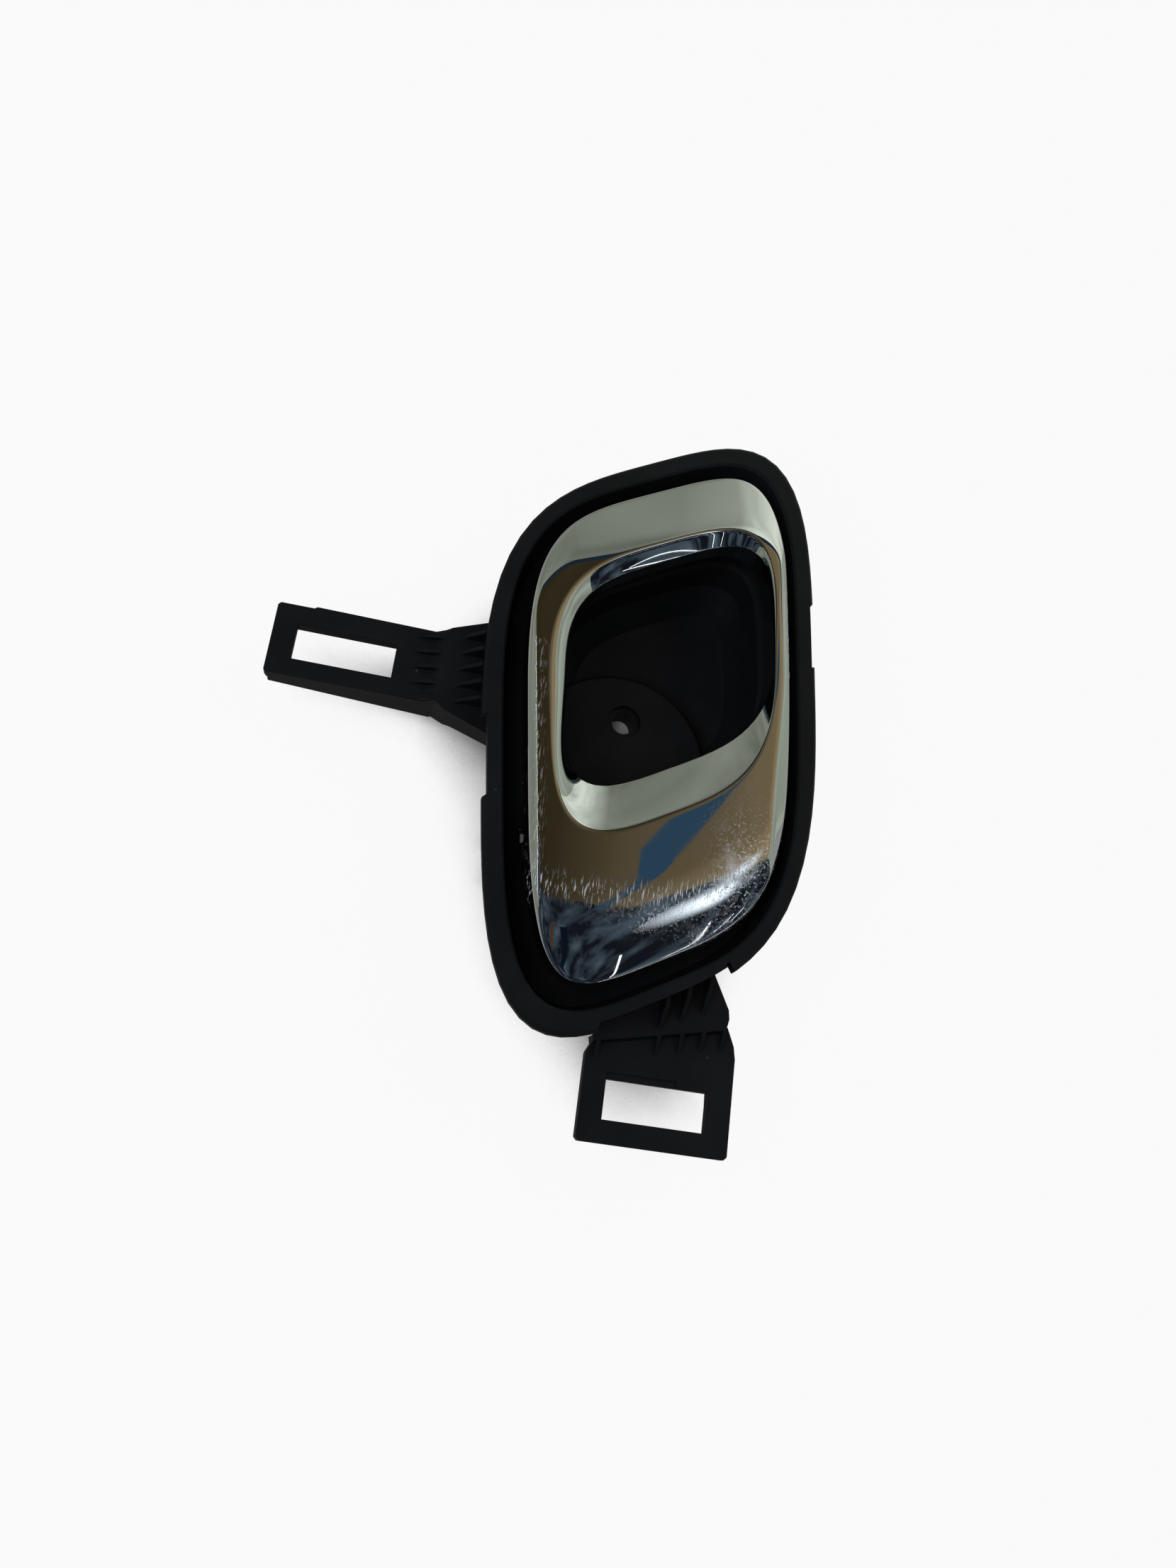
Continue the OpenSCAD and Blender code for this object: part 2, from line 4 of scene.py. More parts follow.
import bpy
import numpy as np
from mathutils import Matrix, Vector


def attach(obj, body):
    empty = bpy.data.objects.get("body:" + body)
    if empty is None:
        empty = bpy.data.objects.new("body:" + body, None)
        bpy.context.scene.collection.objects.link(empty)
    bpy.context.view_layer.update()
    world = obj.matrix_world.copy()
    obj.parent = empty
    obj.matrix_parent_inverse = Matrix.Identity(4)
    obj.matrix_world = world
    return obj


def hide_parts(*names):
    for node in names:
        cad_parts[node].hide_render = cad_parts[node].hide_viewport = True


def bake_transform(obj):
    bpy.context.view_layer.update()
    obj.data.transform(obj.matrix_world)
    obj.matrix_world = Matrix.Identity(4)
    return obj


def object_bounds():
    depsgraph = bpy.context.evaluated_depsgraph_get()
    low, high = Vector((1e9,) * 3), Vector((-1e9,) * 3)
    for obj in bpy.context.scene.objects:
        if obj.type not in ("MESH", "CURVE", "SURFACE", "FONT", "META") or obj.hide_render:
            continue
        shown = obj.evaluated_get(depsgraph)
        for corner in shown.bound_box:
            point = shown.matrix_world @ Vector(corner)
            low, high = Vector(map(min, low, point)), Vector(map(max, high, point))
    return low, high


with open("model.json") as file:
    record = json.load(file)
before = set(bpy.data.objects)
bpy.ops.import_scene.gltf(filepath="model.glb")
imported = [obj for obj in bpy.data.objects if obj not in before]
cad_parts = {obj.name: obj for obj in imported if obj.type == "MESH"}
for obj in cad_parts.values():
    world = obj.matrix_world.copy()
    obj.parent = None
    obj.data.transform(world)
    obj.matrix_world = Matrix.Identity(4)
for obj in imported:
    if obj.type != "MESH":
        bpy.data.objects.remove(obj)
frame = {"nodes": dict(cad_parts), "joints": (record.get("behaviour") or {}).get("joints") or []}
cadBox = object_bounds()
nodes = frame["nodes"]
mm = 0.001
scene = bpy.context.scene
scene.view_settings.view_transform = "Standard"
print("frame loaded:", len(nodes), "nodes")

# camera: stands low and left of the handle and looks down on it
cameraSettings = {
    "place": (-46.83, -105.72, 258.34),
    "right": (0.9728, 0.1251, 0.1951),
    "up": (-0.1799, 0.9384, 0.2951),
    "back": (-0.1461, -0.3222, 0.9353),
    "lens": 27.05,
    "sensor": 36.0,
}
cameraData = bpy.data.cameras.new("photoCamera")
cameraData.lens = cameraSettings["lens"]
cameraData.sensor_width = cameraSettings["sensor"]
cameraData.clip_start = 0.01
cameraData.clip_end = 20
cameraObject = bpy.data.objects.new("photoCamera", cameraData)
scene.collection.objects.link(cameraObject)
axes = np.array([cameraSettings[key] for key in ("right", "up", "back")]).T
cameraPlace = Matrix.Translation(np.array(cameraSettings["place"]) * mm)
cameraObject.matrix_world = cameraPlace @ Matrix(axes).to_4x4()
scene.camera = cameraObject
print("camera placed")


# small helpers

def toLinear(hexCode):
    # sRGB hex to linear RGBA
    c = np.array([int(hexCode[i:i + 2], 16) for i in (1, 3, 5)]) / 255
    c = np.where(c <= 0.04045, c / 12.92, ((c + 0.055) / 1.055) ** 2.4)
    return (*c.tolist(), 1.0)


def addNode(tree, kind, settings=None, links=None):
    # one node: attributes and input values by name, then the sockets that feed it
    node = tree.nodes.new(kind)
    for name, value in (settings or {}).items():
        if isinstance(name, int) or name in node.inputs:
            node.inputs[name].default_value = value
        else:
            setattr(node, name, value)
    for name, socket in (links or {}).items():
        tree.links.new(socket, node.inputs[name])
    return node


def newMaterial(name):
    material = bpy.data.materials.new(name)
    material.use_nodes = True
    material.node_tree.nodes.clear()
    return material, material.node_tree


def setMaterial(thing, material):
    thing.data.materials.clear()
    thing.data.materials.append(material)


def newMesh(name, points, faces, smooth=True):
    mesh = bpy.data.meshes.new(name)
    mesh.from_pydata(points.tolist(), [], faces)
    mesh.update()
    mesh.polygons.foreach_set("use_smooth", np.full(len(mesh.polygons), smooth))
    thing = bpy.data.objects.new(name, mesh)
    scene.collection.objects.link(thing)
    return thing


def gridFaces(rows, columns, closeRows=False):
    # quads of a grid whose columns close on themselves, and whose rows may too
    i = np.arange(rows if closeRows else rows - 1)[:, None]
    j = np.arange(columns)[None, :]
    i2, j2 = (i + 1) % rows, (j + 1) % columns
    corners = (i * columns + j, i * columns + j2, i2 * columns + j2, i2 * columns + j)
    return np.stack(np.broadcast_arrays(*corners), -1).reshape(-1, 4).tolist()


def softStep(x, low, high):
    # 0 below low, 1 above high, and between them three squares less two cubes of the share of the way
    t = np.clip((x - low) / (high - low), 0, 1)
    return t * t * (3 - 2 * t)


# black plastic of the housing and the carrier

housingLook = {
    "colour": "#0c0d0f", "worn": "#101113", "dust": "#2c2d2d",
    "rough": 0.5, "smoother": 0.06, "rougher": 0.08,            # roughness and how far it varies
    "specular": 0.13,
    "grainMm": 0.35, "grainStrength": 0.35, "grainDepthMm": 0.05,
    "cloudMm": 16, "wornFrom": 0.42, "wornFull": 0.72,          # patches paler from handling
    "dustMm": 7, "dustSpot": 0.055, "dustFrom": 0.62, "dustFull": 0.66,
    "edgeMm": 0.35,                               # rounding that the shading gives to sharp edges
}
carrierLook = dict(housingLook, colour="#0f1011", worn="#131415",
                   rough=0.6, cloudMm=9, grainStrength=0.2, edgeMm=0.25)


def blackPlastic(name, look):
    # injection-moulded ABS with a spark-eroded grain: a dull dark face whose edges catch the light
    # the grain is drawn somewhat coarser than the real one, so that it shows
    material, tree = newMaterial(name)
    place = addNode(tree, "ShaderNodeTexCoord").outputs["Object"]
    grain = addNode(tree, "ShaderNodeTexNoise",
                    {"Scale": 1 / (look["grainMm"] * mm), "Detail": 3.0, "Roughness": 0.6}, {"Vector": place})
    cloud = addNode(tree, "ShaderNodeTexNoise",
                    {"Scale": 1 / (look["cloudMm"] * mm), "Detail": 4.0, "Roughness": 0.6}, {"Vector": place})
    # dust: a small spot in the middle of some of the cells
    dust = addNode(tree, "ShaderNodeTexVoronoi",
                   {"Scale": 1 / (look["dustMm"] * mm), "Randomness": 1.0}, {"Vector": place})
    spot = addNode(tree, "ShaderNodeMapRange",
                   {"From Min": 0.0, "From Max": look["dustSpot"], "To Min": 1.0, "To Max": 0.0},
                   {"Value": dust.outputs["Distance"]})
    chance = addNode(tree, "ShaderNodeSeparateColor", {}, {"Color": dust.outputs["Color"]})
    some = addNode(tree, "ShaderNodeMapRange", {"From Min": look["dustFrom"], "From Max": look["dustFull"]},
                   {"Value": chance.outputs["Red"]})
    specks = addNode(tree, "ShaderNodeMath", {"operation": "MULTIPLY"},
                     {0: spot.outputs["Result"], 1: some.outputs["Result"]})
    worn = addNode(tree, "ShaderNodeMapRange", {"From Min": look["wornFrom"], "From Max": look["wornFull"]},
                   {"Value": cloud.outputs["Fac"]})
    colour = addNode(tree, "ShaderNodeMix", {"data_type": "RGBA"}, {"Factor": worn.outputs["Result"]})
    colour.inputs["A"].default_value = toLinear(look["colour"])
    colour.inputs["B"].default_value = toLinear(look["worn"])
    dusty = addNode(tree, "ShaderNodeMix", {"data_type": "RGBA"}, {"Factor": specks.outputs["Value"]})
    tree.links.new(colour.outputs["Result"], dusty.inputs["A"])
    dusty.inputs["B"].default_value = toLinear(look["dust"])
    rough = addNode(tree, "ShaderNodeMapRange",
                    {"To Min": look["rough"] - look["smoother"], "To Max": look["rough"] + look["rougher"]},
                    {"Value": cloud.outputs["Fac"]})
    edge = addNode(tree, "ShaderNodeBevel", {"samples": 4, "Radius": look["edgeMm"] * mm})
    bump = addNode(tree, "ShaderNodeBump",
                   {"Strength": look["grainStrength"], "Distance": look["grainDepthMm"] * mm},
                   {"Height": grain.outputs["Fac"], "Normal": edge.outputs["Normal"]})
    shader = addNode(tree, "ShaderNodeBsdfPrincipled", {"IOR": 1.5, "Specular IOR Level": look["specular"]},
                     {"Base Color": dusty.outputs["Result"], "Roughness": rough.outputs["Result"],
                      "Normal": bump.outputs["Normal"]})
    addNode(tree, "ShaderNodeOutputMaterial", {}, {"Surface": shader.outputs["BSDF"]})
    return material


# steel of the pin, its retainer and the spring

pinLook = {
    "colour": "#b9babb", "rough": 0.34, "smoother": 0.08, "rougher": 0.1,
    "marksMm": (0.6, 0.12, 0.6), "marksStrength": 0.15, "marksDepthMm": 0.02,
}


def turnedSteel(name, look):
    # zinc-plated turned steel or drawn wire: a satin metal with fine marks
    material, tree = newMaterial(name)
    place = addNode(tree, "ShaderNodeTexCoord").outputs["Object"]
    drawnOut = addNode(tree, "ShaderNodeMapping", {"Scale": tuple(1 / (s * mm) for s in look["marksMm"])},
                       {"Vector": place})
    marks = addNode(tree, "ShaderNodeTexNoise", {"Scale": 1.0, "Detail": 3.0},
                    {"Vector": drawnOut.outputs["Vector"]})
    rough = addNode(tree, "ShaderNodeMapRange",
                    {"To Min": look["rough"] - look["smoother"], "To Max": look["rough"] + look["rougher"]},
                    {"Value": marks.outputs["Fac"]})
    bump = addNode(tree, "ShaderNodeBump",
                   {"Strength": look["marksStrength"], "Distance": look["marksDepthMm"] * mm},
                   {"Height": marks.outputs["Fac"]})
    shader = addNode(tree, "ShaderNodeBsdfPrincipled",
                     {"Base Color": toLinear(look["colour"]), "Metallic": 1.0},
                     {"Roughness": rough.outputs["Result"], "Normal": bump.outputs["Normal"]})
    addNode(tree, "ShaderNodeOutputMaterial", {}, {"Surface": shader.outputs["BSDF"]})
    return material


# rubber of the two stops

stopLook = {"colour": "#1b1b1b", "bloom": "#2c2c2b", "bloomMm": 3, "rough": 0.82, "ior": 1.52}


def softRubber(name, look):
    # moulded rubber: matt, almost black, with a faint bloom
    material, tree = newMaterial(name)
    place = addNode(tree, "ShaderNodeTexCoord").outputs["Object"]
    bloom = addNode(tree, "ShaderNodeTexNoise", {"Scale": 1 / (look["bloomMm"] * mm), "Detail": 4.0},
                    {"Vector": place})
    colour = addNode(tree, "ShaderNodeMix", {"data_type": "RGBA"}, {"Factor": bloom.outputs["Fac"]})
    colour.inputs["A"].default_value = toLinear(look["colour"])
    colour.inputs["B"].default_value = toLinear(look["bloom"])
    shader = addNode(tree, "ShaderNodeBsdfPrincipled", {"Roughness": look["rough"], "IOR": look["ior"]},
                     {"Base Color": colour.outputs["Result"]})
    addNode(tree, "ShaderNodeOutputMaterial", {}, {"Surface": shader.outputs["BSDF"]})
    return material


# solids kept from the frame: their faces are welded for shading and stay sharp at real edges

pinSteel = turnedSteel("zincPlatedSteel", pinLook)
rubber = softRubber("mouldedRubber", stopLook)
keptSolids = {
    "housing": blackPlastic("grainedAbs", housingLook),
    "lever_carrier": blackPlastic("plainAbs", carrierLook),
    "pivot_pin": pinSteel,
    "pin_retainer": pinSteel,
    "upper_bump_stop": rubber,
    "lower_bump_stop": rubber,
}
solidShading = {"weldMm": 0.002, "sharpAngle": math.radians(26)}

for name, material in keptSolids.items():
    solid = nodes[name]
    setMaterial(solid, material)
    solid.data.polygons.foreach_set("use_smooth", np.full(len(solid.data.polygons), True))
    weld = solid.modifiers.new("weld", "WELD")
    weld.merge_threshold = solidShading["weldMm"] * mm
    split = solid.modifiers.new("sharpEdges", "EDGE_SPLIT")
    split.split_angle = solidShading["sharpAngle"]
print("kept solids finished:", len(keptSolids))


# plated ring: lengths in millimetres
# an outline is its centre x and y, half width, half length, taper and squareness

ringSettings = {
    "slope": math.radians(30),                    # of the handle's upper and lower ends
    "lean": math.radians(7),                      # of its left and right sides
    "faceZ": 22.2,                                # the bezel's face
    "bezel": (3.2, -5.6, 41.4, 64.3, 0.05, 3.45),
    "inset": 8.2, "shift": (0.7, 0.7), "square": 3.95,          # the ring's outer edge within the bezel
    "leftBar": 8.5, "rightBar": 3.9, "topBar": 17.7,            # the ring's width beside the opening
    "gripLength": 49.5, "gripSquare": 3.65,                     # the finger opening
    "brimShift": (-2, -4), "brimGrowth": (2.2, 7.4), "brimTaper": 0.05, "brimSquare": 3.45,

    "around": 540, "rows": 150,                   # points round the ring and across its section
    "sheetSteps": 60, "wallSteps": 26,            # key points across the sheet and down the inner wall
    "sheetStart": 0.06, "wallStart": 0.04,        # their first shares of the way
    "sheetTop": 4.85,                             # height of the sheet above the bezel's face
    "topFrom": 37.2,                              # the upper end falls away beyond this
    "topTilt": math.radians(13), "topSlope": math.radians(24), "topSoft": 1.1,
    "sideFrom": 2.1,                              # width of the bands that fall away along the long sides
    "sideTilt": math.radians(29), "sideSoft": 0.3,
    "sideGrowth": 3.4,                            # the right band widens by this towards the lower end
    "growthSide": 0.9, "growthEnd": 36,           # and is there in full from these places on
    "cornerRound": 10,                            # radius where the tilted end turns into the side bands
    "rollFrom": -34.2, "rollRadius": 30,          # the paddle rolls down at the lower end
    "crestBow": 8,                                # the roll starts this much earlier at the sides
    "fall": 0.35, "fallLength": 70,               # loss of height over the paddle's flat part
    "crown": 0.25,                                # extra fall at the long edges
    "edgeRadius": 0.9,
    "skirt": -3.0, "skirtSteps": 3, "innerSkirt": -3.15, "lowest": -3.2,
    "wall": 1.8,
    "backWall": (0.06, 0.35, 0.7, 1.0),           # shares of the way from the opening to the brim
    "backSheet": (0.8, 0.6, 0.4, 0.2, 0.05),      # shares of the way from the outer edge to the brim
    "backGap": 1.15,                              # times the wall, where the inner wall stands steep

    "soften": 0.42, "softenRun": 1.2,             # spread that rounds every edge, and where it fades in
    "bellReach": 2.4, "bellSteps": 17,
    "crisp": 0.65, "crispFrom": 1.6, "crispFull": 0.6,          # it is less near the opening's edge

    # inner wall, in degrees from the horizontal on each side
    "wallLow": 27, "wallLeft": 29, "wallTop": 49, "wallRight": 53,
    "turnFrom": 0.2, "turnFull": 0.9, "turnRight": 0.86,        # facing this far out, it has its own slope
    "leastDrop": 1.2, "belowFace": 2.6,
    "bend": 0.05, "leftBend": 0.7, "bendFrom": 0.6,             # how much steeper it gets on its way down
    "blend": 22, "blendReach": 60,                # columns over which one side turns into the next

    # handling wear: the rubbed band along the lower crest
    "crestY": -48.5, "crestRise": 0.0095, "crestFrom": -6, "crestWidth": 2.2,
    "crestLeft": -20, "crestRight": 27, "crestTop": -20,
    # rubbed lines along the sides: x where y is 0, lean, width, lowest and highest y, share
    "rubbedLines": [(-24.5, -0.12, 1.2, -52, 5, 0.5), (33.2, -0.13, 1.0, 8, 30, 0.8)],
    # scuffed patches: centre x and y, spread in x and y, share
    "scuffedPatches": [(25, -38, 6, 11, 1.0), (8, -51, 14, 4, 0.3)],

    "look": {
        "colour": "#e2e5e2", "rough": 0.018,
        "filmRough": 0.06, "filmMm": 22, "filmFrom": 0.45, "filmFull": 0.8,
        "wearRough": 0.42, "wearStrength": 0.5, "wearDepthMm": 0.03,
        "scratch": "#c3cad3", "scratchShare": 0.4,
        "tickWidthMm": 0.28, "tickLengthMm": 2.6, "tickAngle": math.radians(-12),
        "tickFrom": 0.56, "tickFull": 0.66,
        "spotMm": 0.65, "spotFrom": 0.56, "spotFull": 0.64,
        "hazeMm": 5, "hazeFrom": 0.5, "hazeFull": 0.72, "hazeShare": 0.75,
    },
}
skew = math.sin(math.pi / 2 + ringSettings["lean"] - ringSettings["slope"])
alongEnds = np.array([math.cos(ringSettings["slope"]), math.sin(ringSettings["slope"])])
alongSides = np.array([-math.sin(ringSettings["lean"]), math.cos(ringSettings["lean"])])


def platedChrome(name, look):
    # bright chrome over moulded ABS: a clean mirror with rubbed bands and short handling scratches
    material, tree = newMaterial(name)
    place = addNode(tree, "ShaderNodeTexCoord").outputs["Object"]
    band = addNode(tree, "ShaderNodeAttribute", {"attribute_name": "rubbed"})
    patch = addNode(tree, "ShaderNodeAttribute", {"attribute_name": "scuffed"})
    # ticks where it is rubbed: noise drawn out into upright strokes, wider than real scratches, to show
    strokes = tuple(1 / (look[size] * mm) for size in ("tickWidthMm", "tickLengthMm", "tickLengthMm"))
    turned = addNode(tree, "ShaderNodeMapping", {"Rotation": (0, 0, look["tickAngle"]), "Scale": strokes},
                     {"Vector": place})
    ticks = addNode(tree, "ShaderNodeTexNoise", {"Scale": 1.0, "Detail": 2.0, "Roughness": 0.6},
                    {"Vector": turned.outputs["Vector"]})
    tickLine = addNode(tree, "ShaderNodeMapRange",
                       {"From Min": look["tickFrom"], "From Max": look["tickFull"]},
                       {"Value": ticks.outputs["Fac"]})
    tickMask = addNode(tree, "ShaderNodeMath", {"operation": "MULTIPLY"},
                       {0: tickLine.outputs["Result"], 1: band.outputs["Fac"]})
    # spots and haze where it is scuffed
    spots = addNode(tree, "ShaderNodeTexNoise",
                    {"Scale": 1 / (look["spotMm"] * mm), "Detail": 3.0, "Roughness": 0.7}, {"Vector": place})
    spotLine = addNode(tree, "ShaderNodeMapRange",
                       {"From Min": look["spotFrom"], "From Max": look["spotFull"]},
                       {"Value": spots.outputs["Fac"]})
    spotMask = addNode(tree, "ShaderNodeMath", {"operation": "MULTIPLY"},
                       {0: spotLine.outputs["Result"], 1: patch.outputs["Fac"]})
    haze = addNode(tree, "ShaderNodeTexNoise",
                   {"Scale": 1 / (look["hazeMm"] * mm), "Detail": 6.0, "Roughness": 0.7}, {"Vector": place})
    hazeLine = addNode(tree, "ShaderNodeMapRange",
                       {"From Min": look["hazeFrom"], "From Max": look["hazeFull"],
                        "To Max": look["hazeShare"]},
                       {"Value": haze.outputs["Fac"]})
    hazeMask = addNode(tree, "ShaderNodeMath", {"operation": "MULTIPLY"},
                       {0: hazeLine.outputs["Result"], 1: patch.outputs["Fac"]})
    marks = addNode(tree, "ShaderNodeMath", {"operation": "MAXIMUM"},
                    {0: tickMask.outputs["Value"], 1: spotMask.outputs["Value"]})
    wear = addNode(tree, "ShaderNodeMath", {"operation": "MAXIMUM"},
                   {0: marks.outputs["Value"], 1: hazeMask.outputs["Value"]})
    # a thin film of grease blurs the clean part here and there
    film = addNode(tree, "ShaderNodeTexNoise",
                   {"Scale": 1 / (look["filmMm"] * mm), "Detail": 5.0, "Roughness": 0.65}, {"Vector": place})
    filmRough = addNode(tree, "ShaderNodeMapRange",
                        {"From Min": look["filmFrom"], "From Max": look["filmFull"],
                         "To Min": look["rough"], "To Max": look["filmRough"]},
                        {"Value": film.outputs["Fac"]})
    rough = addNode(tree, "ShaderNodeMapRange", {"To Max": look["wearRough"]},
                    {"Value": wear.outputs["Value"], "To Min": filmRough.outputs["Result"]})
    bump = addNode(tree, "ShaderNodeBump",
                   {"Strength": look["wearStrength"], "Distance": look["wearDepthMm"] * mm, "invert": True},
                   {"Height": wear.outputs["Value"]})
    shader = addNode(tree, "ShaderNodeBsdfPrincipled",
                     {"Base Color": toLinear(look["colour"]), "Metallic": 1.0},
                     {"Roughness": rough.outputs["Result"], "Normal": bump.outputs["Normal"]})
    dull = addNode(tree, "ShaderNodeBsdfDiffuse", {"Color": toLinear(look["scratch"])})
    share = addNode(tree, "ShaderNodeMath", {"operation": "MULTIPLY", 1: look["scratchShare"]},
                    {0: wear.outputs["Value"]})
    both = addNode(tree, "ShaderNodeMixShader", {},
                   {0: share.outputs["Value"], 1: shader.outputs["BSDF"], 2: dull.outputs["BSDF"]})
    addNode(tree, "ShaderNodeOutputMaterial", {}, {"Surface": both.outputs["Shader"]})
    return material


def outlinePoints(outline, angle):
    # squared ellipse on the two slanted axes: its radius is |cos|^n + |sin|^n to the power -1/n, n being the
    # squareness, and its width grows towards the top by the taper
    cx, cy, halfWidth, halfLength, taper, square = outline
    c, s = np.cos(angle), np.sin(angle)
    r = (np.abs(c) ** square + np.abs(s) ** square) ** (-1 / square)
    u = halfWidth * (1 + taper * r * s) * r * c
    v = halfLength * r * s
    return np.array([cx, cy]) + u[:, None] * alongEnds + v[:, None] * alongSides


def inset(outline, distance):
    # the same outline with its sides moved in by the distance, measured square to them
    return (*outline[:2], outline[2] - distance / skew, outline[3] - distance / skew, *outline[4:])


def mixed(first, second, part):
    # an outline part of the way from the first to the second
    return tuple(a * (1 - part) + b * part for a, b in zip(first, second))


def ringOutlines():
    # the ring's outer edge, the brim where its inner wall starts, and the finger opening
    f = ringSettings
    lever = list(inset(f["bezel"], f["inset"]))
    lever[0] += f["shift"][0]
    lever[1] += f["shift"][1]
    lever[5] = f["square"]
    halfGrip = (lever[2] - (f["leftBar"] + f["rightBar"]) / 2 / skew, f["gripLength"] / 2)
    step = (f["leftBar"] - f["rightBar"]) / 2 / skew * alongEnds
    step = step + (lever[3] - f["topBar"] / skew - halfGrip[1]) * alongSides
    grip = (lever[0] + step[0], lever[1] + step[1], *halfGrip, 0.0, f["gripSquare"])
    step = f["brimShift"][0] * alongEnds + f["brimShift"][1] * alongSides
    halfBrim = (grip[2] + f["brimGrowth"][0], grip[3] + f["brimGrowth"][1])
    brim = (grip[0] + step[0], grip[1] + step[1], *halfBrim, f["brimTaper"], f["brimSquare"])
    return tuple(lever), brim, grip


def outwardNormals(line):
    # the step from the point before to the point after, turned right by a quarter
    tangent = np.roll(line, -1, axis=0) - np.roll(line, 1, axis=0)
    return np.c_[tangent[:, 1], -tangent[:, 0]] / np.linalg.norm(tangent, axis=1)[:, None]


def sheetHeight(p, lever):
    # height of the sheet over the points p; u runs along the sloping ends and q square to them
    # it is flat, and falls away where a point lies past the upper line or a side's line; the two distances
    # join round a corner as the root of their squares' sum less the radius, and each brings its own tilt
    # below the crest, which bows by the fourth power of u, it rolls down on a circle
    # its long edges fall by the fifth power of u
    f = ringSettings
    dx, dy = p[:, 0] - lever[0], p[:, 1] - lever[1]
    det = alongEnds[0] * alongSides[1] - alongEnds[1] * alongSides[0]
    u = (dx * alongSides[1] - dy * alongSides[0]) / det
    q = (dy * alongEnds[0] - dx * alongEnds[1]) / det * skew
    growth = f["sideGrowth"] * softStep(u / lever[2], 0, f["growthSide"]) * softStep(-q, 0, f["growthEnd"])
    halfHere = lever[2] * (1 + lever[4] * np.clip(q / skew / lever[3], -1, 1))
    pastTop = dy * math.cos(f["topSlope"]) - dx * math.sin(f["topSlope"]) - f["topFrom"]
    pastSide = (np.abs(u) - halfHere) * skew + f["sideFrom"] + growth
    top, side = (np.maximum(distance + f["cornerRound"], 0) for distance in (pastTop, pastSide))
    rounded = np.hypot(top, side) - f["cornerRound"]
    past = np.where((top > 0) & (side > 0), rounded, np.maximum(pastTop, pastSide))
    topShare = top ** 2 / (top ** 2 + side ** 2 + 1e-6)
    soft = f["sideSoft"] + (f["topSoft"] - f["sideSoft"]) * topShare
    past = np.logaddexp(0, past / soft) * soft
    fallAway = past * (topShare * np.tan(f["topTilt"]) + (1 - topShare) * np.tan(f["sideTilt"]))
    crest = f["rollFrom"] + f["crestBow"] * np.clip(u / lever[2], -1, 1) ** 4
    roll = np.logaddexp(0, crest - q)
    drop = f["rollRadius"] - np.sqrt(np.maximum(f["rollRadius"] ** 2 - roll ** 2, 1))
    flat = f["fall"] * np.clip((f["topFrom"] - q) / f["fallLength"], 0, 1)
    crown = f["crown"] * np.abs(u / lever[2]) ** 5
    return f["faceZ"] + f["sheetTop"] - fallAway - drop - flat - crown


def innerWallDrop(towards, wallReach, deepest):
    # drop of the inner wall and its bend for each column: gentle at the lower side, steeper at the left and
    # top, steepest at the right, and averaged with a bell curve so that one side turns into the next
    f = ringSettings
    slope = (f["wallLow"]
             + (f["wallLeft"] - f["wallLow"]) * softStep(-towards[:, 0], f["turnFrom"], f["turnFull"])
             + (f["wallTop"] - f["wallLow"]) * softStep(towards[:, 1], f["turnFrom"], f["turnFull"])
             + (f["wallRight"] - f["wallLow"]) * softStep(towards[:, 0], f["turnRight"], 1))
    bend = f["bend"] + f["leftBend"] * softStep(-towards[:, 0], f["bendFrom"], 1)
    drop = np.clip(wallReach * np.tan(np.radians(slope)), f["leastDrop"], deepest)
    near = np.arange(-f["blendReach"], f["blendReach"] + 1)
    bell = np.exp(-(near / f["blend"]) ** 2 / 2)
    bell /= bell.sum()
    return tuple(sum(b * np.roll(line, n) for b, n in zip(bell, near)) for line in (drop, bend))


def ringFront(outer, brimLine, gripLine, lever):
    # key points of each column: outer skirt, sheet with a rounded outer edge, inner wall and inner skirt
    # the wall's depth is its drop times (1 - bend) t + bend t squared, t being the share of the way
    f = ringSettings
    reach = np.sum((outer - brimLine) * outwardNormals(outer), axis=1)
    heights = np.linspace(f["skirt"], f["skirt"] + 1, f["skirtSteps"])
    columns = [np.c_[outer, np.full(len(outer), f["faceZ"] + height)] for height in heights]
    shares = 1 - np.cos(np.linspace(f["sheetStart"], math.pi / 2, f["sheetSteps"]))
    for part in np.concatenate([[0], shares]):
        p = outer * (1 - part) + brimLine * part
        d = np.minimum(part * reach, f["edgeRadius"])
        edge = f["edgeRadius"] - np.sqrt(np.maximum(f["edgeRadius"] ** 2 - (f["edgeRadius"] - d) ** 2, 0))
        columns.append(np.c_[p, sheetHeight(p, lever) - edge])
    towards = outwardNormals(brimLine)
    wallReach = np.sum((brimLine - gripLine) * towards, axis=1)
    brimHeight = columns[-1][:, 2]
    wallDrop, bend = innerWallDrop(towards, wallReach, brimHeight - f["faceZ"] + f["belowFace"])
    for part in np.linspace(f["wallStart"], 1, f["wallSteps"]):
        p = brimLine * (1 - part) + gripLine * part
        columns.append(np.c_[p, brimHeight - wallDrop * ((1 - bend) * part + bend * part ** 2)])
    columns.append(np.c_[gripLine, np.full(len(gripLine), f["faceZ"] + f["innerSkirt"])])
    return np.stack(columns, 1), brimHeight, wallDrop


def alongColumns(keys, run, at):
    # points at the lengths "at" on many polylines at once: straight between the two keys on either side
    at = np.clip(at, 0, run[:, -1:] - 1e-9)
    low = np.clip((run[:, None, :] <= at[:, :, None]).sum(-1) - 1, 0, run.shape[1] - 2)
    start, end = np.take_along_axis(run, low, 1), np.take_along_axis(run, low + 1, 1)
    part = ((at - start) / np.maximum(end - start, 1e-9))[..., None]
    first, second = (np.take_along_axis(keys, (low + i)[..., None], 1) for i in (0, 1))
    return first * (1 - part) + second * part


